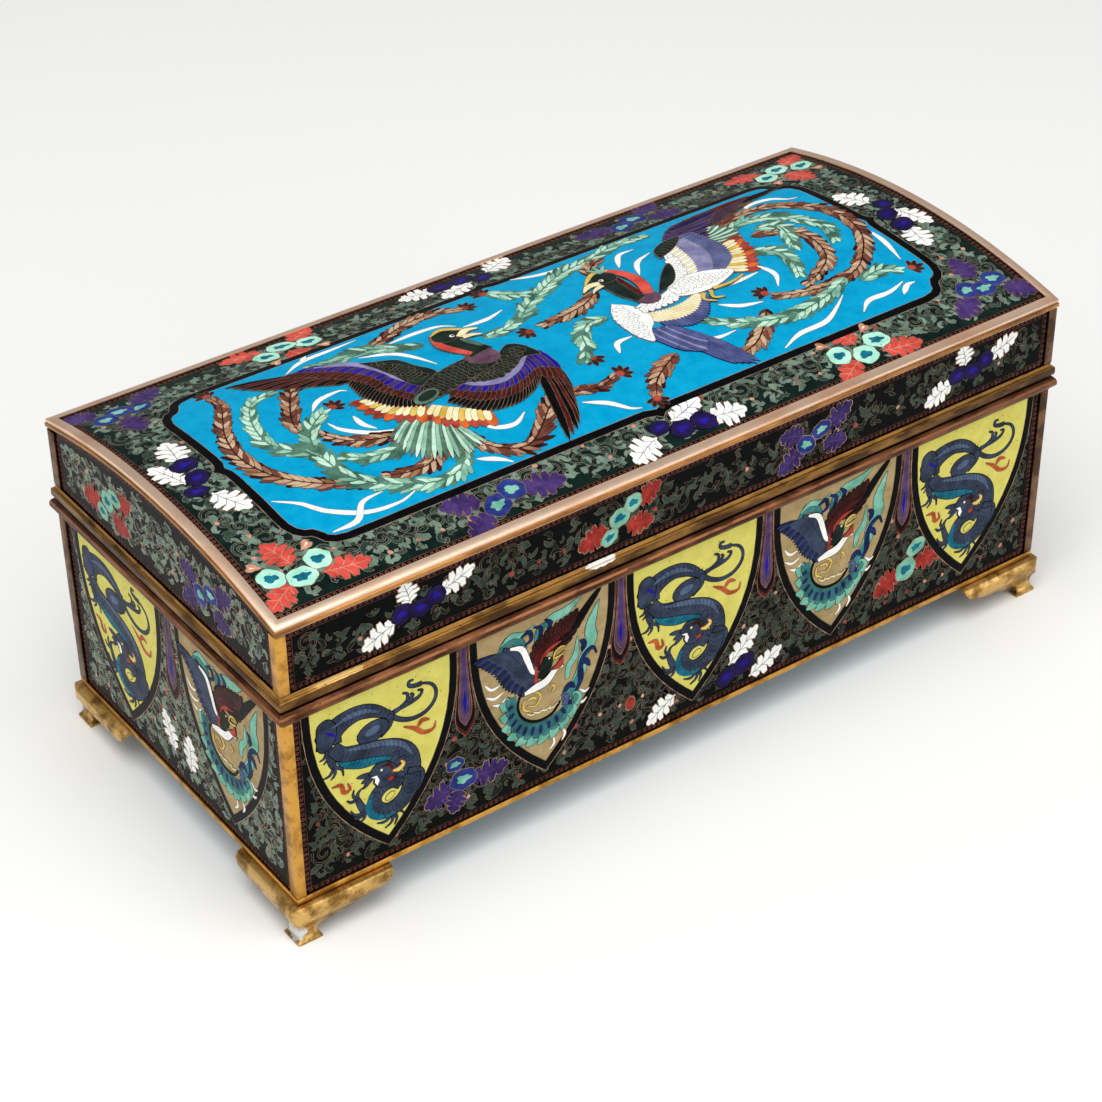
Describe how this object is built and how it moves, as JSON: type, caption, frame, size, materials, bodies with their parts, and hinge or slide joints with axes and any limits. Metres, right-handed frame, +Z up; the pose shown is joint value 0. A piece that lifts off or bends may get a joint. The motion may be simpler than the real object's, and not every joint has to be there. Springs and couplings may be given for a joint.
{
  "type": "cloisonne enamel box",
  "caption": "Long enamelled copper box with a lift-off shallow-domed lid, brass edging, moulded brass rims at the seam and cast brass bracket feet.",
  "frame": {"origin": "centre of the box on the surface that its feet stand on", "axes": "+X along the length, -Y towards the front long side, +Z up"},
  "size_m": [0.2764, 0.1274, 0.1138],
  "materials": {
    "cloisonne_enamel": "polished cloisonne enamel on copper: black-green scrollwork ground, turquoise lid panel, yellow and tan shields",
    "dark_brass": "browned brass, rubbed bright along the edges",
    "worn_brass": "worn pinkish gilt brass",
    "gilt_brass": "gilt brass with small dark pits"
  },
  "bodies": {
    "root": {"body": "cloisonne_enamel", "lid": "cloisonne_enamel", "body_rim": "dark_brass", "lid_rim": "dark_brass", "lid_edging": "worn_brass", "base_strip": "gilt_brass", "body_corner_strip_front_left": "gilt_brass", "body_corner_strip_front_right": "gilt_brass", "body_corner_strip_back_left": "gilt_brass", "body_corner_strip_back_right": "gilt_brass", "lid_corner_strip_front_left": "gilt_brass", "lid_corner_strip_front_right": "gilt_brass", "lid_corner_strip_back_left": "gilt_brass", "lid_corner_strip_back_right": "gilt_brass", "foot_front_left": "gilt_brass", "foot_front_right": "gilt_brass", "foot_back_left": "gilt_brass", "foot_back_right": "gilt_brass"}
  },
  "joints": []
}
